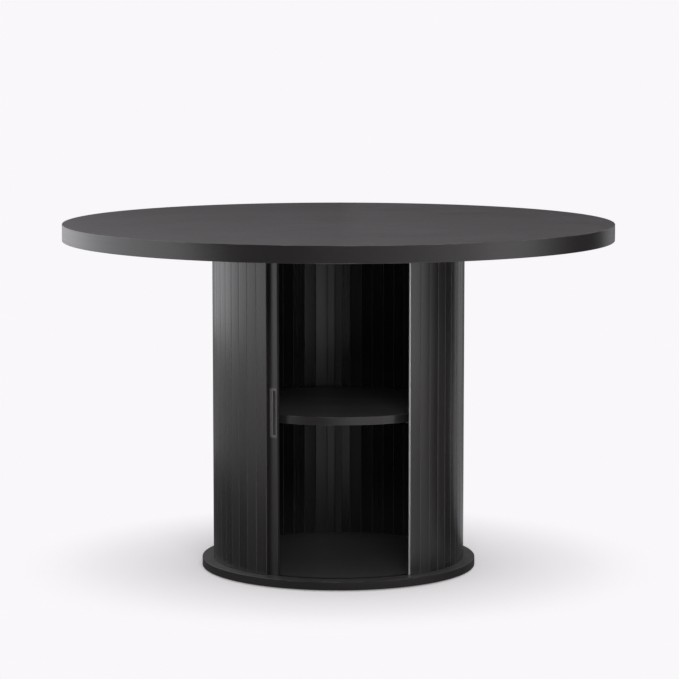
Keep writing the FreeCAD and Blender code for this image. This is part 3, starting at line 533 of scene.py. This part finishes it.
# Posts. Four square uprights behind the shell's joints that tie plinth and top plate together.
# Planed beech, sprayed black so thinly that its long grain still shows, bored for shelf pegs.
def sprayed(name, dark, light, gloss, grain, length, relief):
    """Spray lacquer: orange peel in the relief, and the board's long grain or sanding in colour and
    gloss. Each stick is a little different, by its tone attribute."""
    peel_size = 3.5
    spread = 0.05
    darkest = 0.2
    lightest = 1.6
    material, tree = new_material(name)
    spot = add_node(tree, "ShaderNodeTexCoord").outputs["Object"]
    tone = add_node(tree, "ShaderNodeAttribute", attribute_name="tone").outputs["Fac"]
    along_grain = (scale_for(grain), scale_for(grain), scale_for(length))
    long_way = add_node(tree, "ShaderNodeMapping", {"Vector": spot, "Scale": along_grain}).outputs[0]
    streak = add_node(tree, "ShaderNodeTexNoise",
                      {"Vector": long_way, "Scale": 1.0, "Detail": 3.0}).outputs[0]
    peel = add_node(tree, "ShaderNodeTexNoise",
                    {"Vector": spot, "Scale": scale_for(peel_size), "Detail": 1.0}).outputs[0]
    mixed = add_node(tree, "ShaderNodeMath", {0: tone, 1: streak}, operation="ADD").outputs[0]
    shade = add_node(tree, "ShaderNodeMapRange",
                     {"Value": mixed, "From Min": darkest, "From Max": lightest}).outputs[0]
    body = add_node(tree, "ShaderNodeMix", {0: shade, 6: linear(dark), 7: linear(light)},
                    data_type="RGBA").outputs[2]
    rough = add_node(tree, "ShaderNodeMapRange",
                     {"Value": mixed, "From Min": darkest, "From Max": lightest,
                      "To Min": gloss - spread, "To Max": gloss + spread}).outputs[0]
    fine = add_node(tree, "ShaderNodeBump",
                    {"Height": peel, "Strength": 0.3, "Distance": 0.03 * MM}).outputs[0]
    bump = add_node(tree, "ShaderNodeBump",
                    {"Height": streak, "Strength": 0.5, "Distance": relief * MM, "Normal": fine}).outputs[0]
    shader = add_node(tree, "ShaderNodeBsdfPrincipled",
                      {"Base Color": body, "Roughness": rough, "Normal": bump})
    add_node(tree, "ShaderNodeOutputMaterial", {"Surface": shader.outputs[0]})
    return material


beech_paint = sprayed("black sprayed beech", "#232222", "#302f2f",
                      gloss=0.42, grain=1.6, length=90.0, relief=0.12)
# The posts' paler arrises are partly worn paint and partly a painted highlight along each post.
rubbed_paint_and_painted_highlight = sprayed("black paint rubbed thin", "#5e5c5d", "#727071",
                       gloss=0.40, grain=1.6, length=90.0, relief=0.05)
for side in ("right_front", "right_back", "back", "left_back"):
    softened("beech_post_" + side, "post_" + side, "table", "post_paint", beech_paint, arris=1.3,
             segments=3, rubbed=rubbed_paint_and_painted_highlight)


# Post screws. One pan head screw through the plinth and one through the top plate into each post.
# Zinc plated steel with a cross recess, their heads sunk in counterbores.
def plated(name, dark, light, gloss, cell):
    """Barrel plated or cast metal: small crystals of slightly different tone, and a handled, uneven
    gloss. The crystals are drawn coarser than life, at about 2 mm, so that they show."""
    haze_size = 6.0
    spread = 0.1
    material, tree = new_material(name)
    spot = add_node(tree, "ShaderNodeTexCoord").outputs["Object"]
    grain = add_node(tree, "ShaderNodeTexVoronoi", {"Vector": spot, "Scale": scale_for(cell)})
    crystal = add_node(tree, "ShaderNodeSeparateColor", {0: grain.outputs["Color"]}).outputs[0]
    haze = add_node(tree, "ShaderNodeTexNoise",
                    {"Vector": spot, "Scale": scale_for(haze_size), "Detail": 3.0}).outputs[0]
    body = add_node(tree, "ShaderNodeMix", {0: crystal, 6: linear(dark), 7: linear(light)},
                    data_type="RGBA").outputs[2]
    rough = add_node(tree, "ShaderNodeMapRange",
                     {"Value": haze, "To Min": gloss - spread, "To Max": gloss + spread}).outputs[0]
    bump = add_node(tree, "ShaderNodeBump",
                    {"Height": haze, "Strength": 0.2, "Distance": 0.05 * MM}).outputs[0]
    shader = add_node(tree, "ShaderNodeBsdfPrincipled",
                      {"Base Color": body, "Roughness": rough, "Normal": bump, "Metallic": 1.0})
    add_node(tree, "ShaderNodeOutputMaterial", {"Surface": shader.outputs[0]})
    return material


DRIVEN_STEPS = 36
SOCKET_TAPER = 0.8


def driven(name, profile, socket, depth):
    """A turned fastener with a drive socket in its face. The profile runs from the face's rim to
    the tip, in (radius, height) pairs."""
    shape = bmesh.new()
    rings = lathe(shape, profile, DRIVEN_STEPS)
    shape.faces.new(rings[-1])
    face = profile[0][1]
    into = 1 if profile[-1][1] > face else -1
    floor_level = (face + into * depth) * MM
    mouth = [shape.verts.new((x * MM, y * MM, face * MM)) for x, y in socket]
    bottom = [shape.verts.new((SOCKET_TAPER * x * MM, SOCKET_TAPER * y * MM, floor_level))
              for x, y in socket]
    loops = []
    for loop in (rings[0], mouth):
        for k, corner in enumerate(loop):
            found = shape.edges.get((corner, loop[k - 1]))
            loops.append(found or shape.edges.new((corner, loop[k - 1])))
    bmesh.ops.bridge_loops(shape, edges=loops)
    for k in range(len(socket)):
        shape.faces.new((mouth[k], mouth[k - 1], bottom[k - 1], bottom[k]))
    shape.faces.new(bottom)
    return smoothed(name, shape)


STAVE_PLACES = 64
OPEN_PLACES = 12
PANEL_STAVES = 13
STAVE_PITCH = 360 / STAVE_PLACES
PANEL_ARC = PANEL_STAVES * STAVE_PITCH
JAMB_AT = OPEN_PLACES / 2 * STAVE_PITCH
POST_COUNT = 4
POST_RING = 259.99
LOWER_SCREW_FACE = 5.0
UPPER_SCREW_FACE = 719.0
CROSS = [(2.3, 0.6), (0.6, 0.6), (0.6, 2.3), (-0.6, 2.3), (-0.6, 0.6), (-2.3, 0.6),
         (-2.3, -0.6), (-0.6, -0.6), (-0.6, -2.3), (0.6, -2.3), (0.6, -0.6), (2.3, -0.6)]
CROSS_DEPTH = 1.6
SCREW = [(2.9, 0.0), (3.6, 0.25), (4.0, 0.9), (4.0, 3.0),
         (2.0, 3.0), (2.0, 46.0), (1.5, 49.0), (0.3, 52.0)]
zinc_plate = plated("zinc plated steel", "#a3a6aa", "#c2c4c6", gloss=0.34, cell=1.6)
screw = driven("screw", SCREW, CROSS, CROSS_DEPTH)
lower_screws = ring_of("zinc_post_screws_lower", screw, zinc_plate, POST_COUNT, JAMB_AT, PANEL_ARC,
                       radius=POST_RING, level=LOWER_SCREW_FACE, shift=STAVE_PITCH)
screw.data.transform(Matrix.Rotation(math.pi, 4, "Y"))
upper_screws = ring_of("zinc_post_screws_upper", screw, zinc_plate, POST_COUNT, JAMB_AT, PANEL_ARC,
                       radius=POST_RING, level=UPPER_SCREW_FACE, shift=STAVE_PITCH)
bpy.data.objects.remove(screw)
stand_for(lower_screws, "table", "zinc_steel", "post_screws_lower")
stand_for(upper_screws, "table", "zinc_steel", "post_screws_upper")


# Shelf. A round 18 mm board banded like the plinth, which lies loose on four steel pegs.
# Each peg is a pin in its post with a flat tongue under the board.
SHELF_UNDERSIDE = 345.0
SHELF_TOP = 363.0
softened("zinc_shelf_pegs", "shelf_pegs", "table", "zinc_steel", zinc_plate, arris=0.35)
dress("shelf", board_laminate_painted_lighter)
dress("shelf_edge_band", edge_band("shelf ABS edging", SHELF_UNDERSIDE, SHELF_TOP))


# Shell. The drum's wall of flat staves, glued edge to edge in four panels of thirteen.
# Fibreboard strips, lacquered black, slightly round in front, with eased arrises that leave a
# V at every joint.
HALF_PITCH = math.radians(STAVE_PITCH / 2)
STAVE_OUTSIDE = 274.669
STAVE_INSIDE = 266.669
CABINET_CEILING = 703.0
CROWN = 0.55
CROWN_PROUD = 0.55
CROWN_STEPS = 12
STAVE_ARRIS = 0.8


def prism(name, outline, low, high):
    """An upright stick of one outline, (x, y) pairs in millimetres, anticlockwise from above."""
    total = len(outline)
    corners = [(x * MM, y * MM, z * MM) for z in (low, high) for x, y in outline]
    sides = [(i, (i + 1) % total, total + (i + 1) % total, total + i) for i in range(total)]
    mesh = bpy.data.meshes.new(name)
    mesh.from_pydata(corners, [], [tuple(reversed(range(total))), tuple(range(total, 2 * total))] + sides)
    mesh.shade_smooth()
    return link_mesh(name, mesh)


def crowned(half, face):
    """The outline of a stick's front face from left to right, a little round. A share of the crown
    stands proud of the flat face, and the arrises lie behind it."""
    turns = [-1 + 2 * k / CROWN_STEPS for k in range(CROWN_STEPS + 1)]
    return [(half * t, -face - CROWN * (CROWN_PROUD - t * t)) for t in turns]


stave_lacquer = sprayed("black lacquered fibreboard", "#1d1b1c", "#242223",
                        gloss=0.27, grain=7.0, length=260.0, relief=0.03)
# The paler lacquer on the arrises is partly wear and partly a painted highlight along every joint of shell
# and door.
rubbed_lacquer_and_painted_highlight = sprayed("black lacquer rubbed thin", "#363334", "#434041",
                         gloss=0.40, grain=5.0, length=60.0, relief=0.03)
half_out = STAVE_OUTSIDE * math.tan(HALF_PITCH)
half_in = STAVE_INSIDE * math.tan(HALF_PITCH)
stave_back = [(half_in, -STAVE_INSIDE), (-half_in, -STAVE_INSIDE)]
stave = prism("stave", crowned(half_out, STAVE_OUTSIDE) + stave_back, CABINET_FLOOR, CABINET_CEILING)
for k, panel in enumerate(("right_front", "right_back", "left_back", "left_front")):
    first = JAMB_AT + PANEL_ARC * k + STAVE_PITCH / 2
    wall = ring_of("stave_panel_" + panel, stave, stave_lacquer, PANEL_STAVES, first, STAVE_PITCH,
                   arris=STAVE_ARRIS, rubbed=rubbed_lacquer_and_painted_highlight)
    stand_for(wall, "table", "stave_lacquer", "shell_" + panel)
bpy.data.objects.remove(stave)


# Closing strip. A low half-round bead of aluminium glued on the right cut edge of the shell, where
# the door's stile shuts against it. Brushed along its length and anodised to a dull satin.
STRIP_MIDDLE = 271.4
STRIP_HALF = 3.05
STRIP_EDGE = 0.2
STRIP_CROWN = 0.85
STRIP_STEPS = 10
STRIP_ARRIS = 0.05
# Real brush lines are about 0.1 mm wide and are drawn at 0.5 mm, so that they show.
BRUSH_WIDTH = 0.5
BRUSH_LENGTH = 700.0
anodised, tree = new_material("brushed anodised aluminium")
spot = add_node(tree, "ShaderNodeTexCoord").outputs["Object"]
along_strip = (scale_for(BRUSH_WIDTH), scale_for(BRUSH_WIDTH), scale_for(BRUSH_LENGTH))
drawn = add_node(tree, "ShaderNodeMapping", {"Vector": spot, "Scale": along_strip}).outputs[0]
brush = add_node(tree, "ShaderNodeTexNoise", {"Vector": drawn, "Scale": 1.0, "Detail": 3.0}).outputs[0]
body = add_node(tree, "ShaderNodeMix", {0: brush, 6: linear("#d6d8da"), 7: linear("#e8e9ea")},
                data_type="RGBA").outputs[2]
rough = add_node(tree, "ShaderNodeMapRange", {"Value": brush, "To Min": 0.54, "To Max": 0.64}).outputs[0]
bump = add_node(tree, "ShaderNodeBump",
                {"Height": brush, "Strength": 0.3, "Distance": 0.02 * MM}).outputs[0]
shader = add_node(tree, "ShaderNodeBsdfPrincipled",
                  {"Base Color": body, "Roughness": rough, "Normal": bump, "Metallic": 1.0})
add_node(tree, "ShaderNodeOutputMaterial", {"Surface": shader.outputs[0]})
turns = [1 - 2 * k / STRIP_STEPS for k in range(STRIP_STEPS + 1)]
bead = [(-STRIP_EDGE - STRIP_CROWN * (1 - t * t), -STRIP_MIDDLE + STRIP_HALF * t) for t in turns]
strip_back = [(0.0, bead[-1][1]), (0.0, bead[0][1])]
strip = prism("jamb", strip_back + bead, CABINET_FLOOR, CABINET_CEILING)
closing = ring_of("aluminium_closing_strip", strip, anodised, 1, JAMB_AT, 0.0, arris=STRIP_ARRIS)
bpy.data.objects.remove(strip)
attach(closing, "table")


# Door. A tambour of twelve slats behind a wider lead stile, all glued to one canvas.
# Lacquered fibreboard like the shell's. It slides round inside the shell in its two tracks.
SLAT_COUNT = 12
SLAT_OUTSIDE = 263.369
SLAT_INSIDE = 255.369
SLAT_HALF = 12.396
SLAT_LOW = 14.3
SLAT_HIGH = 709.0
FIRST_SLAT = -35.99
# The door's lacquer is a touch lighter than the shell's: painted light that lifts the stile where the jamb
# shades it.
door_lacquer = sprayed("black lacquered door slats", "#262425", "#2d2b2c",
                       gloss=0.38, grain=7.0, length=260.0, relief=0.03)
slat_back = [(SLAT_HALF, -SLAT_INSIDE), (-SLAT_HALF, -SLAT_INSIDE)]
slat = prism("slat", crowned(SLAT_HALF, SLAT_OUTSIDE) + slat_back, SLAT_LOW, SLAT_HIGH)
slats = ring_of("tambour_slats", slat, door_lacquer, SLAT_COUNT, FIRST_SLAT - STAVE_PITCH / 2, -STAVE_PITCH,
                arris=STAVE_ARRIS, rubbed=rubbed_lacquer_and_painted_highlight)
bpy.data.objects.remove(slat)
stand_for(slats, "door", "door_lacquer", *["door_slat_%02d" % k for k in range(1, SLAT_COUNT + 1)])
softened("tambour_lead_stile", "lead_stile", "door", "door_lacquer", door_lacquer, arris=0.3)

# Finger pull. A long flush pull let into the stile, with a rib to push and a cup for fingertips.
# Die cast zinc under satin black enamel.
enamel = even_black("black enamel on cast zinc", "#3c3a3b", "#484647",
                    gloss=0.36, grain=1.4, relief=0.05, shine=0.9)
rubbed_enamel = even_black("black enamel rubbed thin", "#6f6c6d", "#878485",
                           gloss=0.30, grain=1.4, relief=0.05, shine=0.9)
softened("enamelled_finger_pull", "finger_pull", "door", "pull_enamel", enamel, arris=0.4,
         rubbed=rubbed_enamel)

# Canvas. The cloth on the slats' backs that makes them one curtain and lets it bend.
# Plain woven black cotton, glued tight, with soft creases where it crosses from slat to slat.
CANVAS_LOW = 27.0
CANVAS_HIGH = 697.0
CANVAS_THICKNESS = 0.7
CANVAS_BEHIND = 0.43
CANVAS_MIDDLE = SLAT_INSIDE - CANVAS_BEHIND
ON_STILE = 5.0
STEPS_ACROSS = 6
ROWS = 61
CREASE_DEPTH = 0.25
PUCKER_DEPTH = 0.10
SHORT_WAVE = 0.09
SHORT_SHIFT = 1.7
LONG_WAVE = 0.031
LONG_SHIFT = 0.6
columns = []
corner_radius = CANVAS_MIDDLE / math.cos(HALF_PITCH)
for k in range(SLAT_COUNT + 1):
    a = math.radians(FIRST_SLAT - STAVE_PITCH * k)
    columns.append(Vector((corner_radius * math.sin(a), -corner_radius * math.cos(a), 0.0)))
stile_turn = math.radians(FIRST_SLAT) + HALF_PITCH
onto_stile = Vector((math.cos(stile_turn), math.sin(stile_turn), 0.0))
path = [(columns[0] + onto_stile * ON_STILE, 0.0), (columns[0] + onto_stile * ON_STILE / 2, 0.0)]
for one, two in zip(columns, columns[1:]):
    for i in range(STEPS_ACROSS):
        path.append((one.lerp(two, i / STEPS_ACROSS), 1.0 if i == 0 else 0.0))
path.append((columns[-1], 0.0))
corners = []
uv_spots = []
run = 0.0
for i, (place, crease) in enumerate(path):
    run += (place - path[i - 1][0]).length if i else 0.0
    for j in range(ROWS):
        z = CANVAS_LOW + (CANVAS_HIGH - CANVAS_LOW) * j / (ROWS - 1)
        ripple = math.sin(SHORT_WAVE * z + SHORT_SHIFT * i)
        pucker = PUCKER_DEPTH * ripple * math.sin(LONG_WAVE * z + LONG_SHIFT * i)
        inward = (CREASE_DEPTH * crease + max(0.0, pucker)) / CANVAS_MIDDLE
        corners.append(((place.x * (1 - inward)) * MM, (place.y * (1 - inward)) * MM, z * MM))
        uv_spots.append((run * MM, z * MM))
faces = []
for i in range(len(path) - 1):
    for j in range(ROWS - 1):
        faces.append((i * ROWS + j, i * ROWS + j + 1, (i + 1) * ROWS + j + 1, (i + 1) * ROWS + j))
mesh = bpy.data.meshes.new("tambour_canvas")
mesh.from_pydata(corners, [], faces)
weave_map = mesh.uv_layers.new(name="weave")
for loop in mesh.loops:
    weave_map.data[loop.index].uv = uv_spots[loop.vertex_index]
mesh.shade_smooth()
canvas = link_mesh("tambour_canvas", mesh)
thick = canvas.modifiers.new("cloth", "SOLIDIFY")
thick.thickness = CANVAS_THICKNESS * MM
thick.offset = 0.0
settle(canvas)

# A canvas thread is about 0.8 mm and is drawn at 1.6 mm, so that the weave shows.
THREAD = 1.6
cotton, tree = new_material("plain woven cotton canvas")
spot = add_node(tree, "ShaderNodeUVMap", uv_map="weave").outputs[0]
threads = add_node(tree, "ShaderNodeVectorMath", {0: spot, 3: math.pi / (THREAD * MM)},
                   operation="SCALE").outputs[0]
way = add_node(tree, "ShaderNodeSeparateXYZ", {0: threads}).outputs
warp = add_node(tree, "ShaderNodeMath", {0: way[0]}, operation="SINE").outputs[0]
weft = add_node(tree, "ShaderNodeMath", {0: way[1]}, operation="SINE").outputs[0]
over = add_node(tree, "ShaderNodeMath", {0: warp, 1: weft}, operation="MULTIPLY").outputs[0]
fuzz = add_node(tree, "ShaderNodeTexNoise", {"Vector": threads, "Scale": 1.6, "Detail": 4.0}).outputs[0]
height = add_node(tree, "ShaderNodeMath", {0: over, 1: fuzz}, operation="ADD").outputs[0]
# The colour follows the weave's height: painted shade in the hollows between threads and a painted
# highlight on their crossings.
body = add_node(tree, "ShaderNodeMix", {0: height, 6: linear("#171616"), 7: linear("#2a2929")},
                data_type="RGBA").outputs[2]
bump = add_node(tree, "ShaderNodeBump",
                {"Height": height, "Strength": 0.7, "Distance": 0.3 * MM}).outputs[0]
shader = add_node(tree, "ShaderNodeBsdfPrincipled",
                  {"Base Color": body, "Roughness": 0.9, "Normal": bump,
                   "Sheen Weight": 0.25, "Sheen Roughness": 0.5})
add_node(tree, "ShaderNodeOutputMaterial", {"Surface": shader.outputs[0]})
canvas.data.materials.append(cotton)
stand_for(canvas, "door", "canvas", "door_canvas")

# Upper track and top plate. The plate closes the drum and carries the track that holds the
# door's slats upright. A round melamine board banded like the plinth.
PLATE_TOP = 721.0
softened("nylon_upper_track", "upper_track", "table", "track_nylon", track_nylon, arris=0.2)
dress("top_plate", board_laminate_painted_lighter)
dress("top_plate_edge_band", edge_band("top plate ABS edging", CABINET_CEILING, PLATE_TOP))

# Tabletop bolts. Six M6 button head bolts with washers go up through the top plate from inside
# the cabinet, into brass inserts in the pad. Zinc plated steel, and plain turned brass.
BOLT_COUNT = 6
BOLT_RING = 200.0
BOLT_FIRST = 90.0
HEX_RADIUS = 2.0
HEX_DEPTH = 2.4
hex_turns = [math.pi * k / 3 for k in range(6)]
HEXAGON = [(HEX_RADIUS * math.cos(t), HEX_RADIUS * math.sin(t)) for t in hex_turns]
BOLT = [(2.6, 697.4), (3.6, 697.7), (4.7, 698.6), (5.3, 699.9), (5.5, 701.4),
        (3.0, 701.4), (3.0, 732.2), (2.4, 733.0)]
WASHER = [(3.3, 701.5), (3.4, 701.4), (8.6, 701.4), (9.0, 701.8), (9.0, 702.6), (8.6, 703.0), (3.4, 703.0),
          (3.3, 702.9), (3.3, 701.5)]
INSERT = [(3.05, 721.0), (4.7, 721.0), (5.0, 721.5), (5.0, 733.4),
          (4.4, 734.0), (3.05, 734.0), (3.05, 721.0)]
turned_brass = plated("turned brass", "#a5824a", "#b9975c", gloss=0.3, cell=2.4)
bolt = driven("bolt", BOLT, HEXAGON, HEX_DEPTH)
washer = turned("washer", WASHER)
insert = turned("insert", INSERT)
for name, node, finish, slot, piece in (
    ("zinc_tabletop_bolts", "tabletop_bolts", zinc_plate, "zinc_steel", bolt),
    ("zinc_bolt_washers", "bolt_washers", zinc_plate, "zinc_steel", washer),
    ("brass_threaded_inserts", "threaded_inserts", turned_brass, "insert_brass", insert),
):
    fixings = ring_of(name, piece, finish, BOLT_COUNT, BOLT_FIRST, 360 / BOLT_COUNT, radius=BOLT_RING)
    bpy.data.objects.remove(piece)
    stand_for(fixings, "table", slot, node)

# Tabletop. An 18 mm round board on a build-up of eight rim segments and a centre pad of the
# same board, so that its edge looks twice as thick. The edge is covered by one band.
RIM_COUNT = 8
RIM_ARC = 360 / RIM_COUNT
RIM_RADIUS = 598.5
RIM_INSIDE = 488.5
RIM_TOP = 739.0
RIM_STEPS = 24
TABLE_TOP = 757.0
rolled_paint = even_black("black rolled paint", "#1c1b1b", "#242323", gloss=0.62, grain=3.0, relief=0.12)
bow = [math.radians(-RIM_ARC / 2 + RIM_ARC * k / RIM_STEPS) for k in range(RIM_STEPS + 1)]
chord = RIM_INSIDE * math.tan(math.radians(RIM_ARC / 2))
outer = [(RIM_RADIUS * math.sin(a), -RIM_RADIUS * math.cos(a)) for a in bow]
inner = [(chord, -RIM_INSIDE), (-chord, -RIM_INSIDE)]
segment = prism("segment", outer + inner, PLATE_TOP, RIM_TOP)
rim = ring_of("rim_segments", segment, rolled_paint, RIM_COUNT, 0.0, RIM_ARC, arris=0.4)
bpy.data.objects.remove(segment)
stand_for(rim, "table", "underside_paint", *["rim_segment_%d" % k for k in range(1, RIM_COUNT + 1)])
dress("centre_pad", rolled_paint)
dress("tabletop_panel", laminate("black melamine tabletop", "#2c2a2b", "#323031", gloss=0.50))
dress("tabletop_edge_band", edge_band("tabletop ABS edging", PLATE_TOP, TABLE_TOP))

low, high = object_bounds()
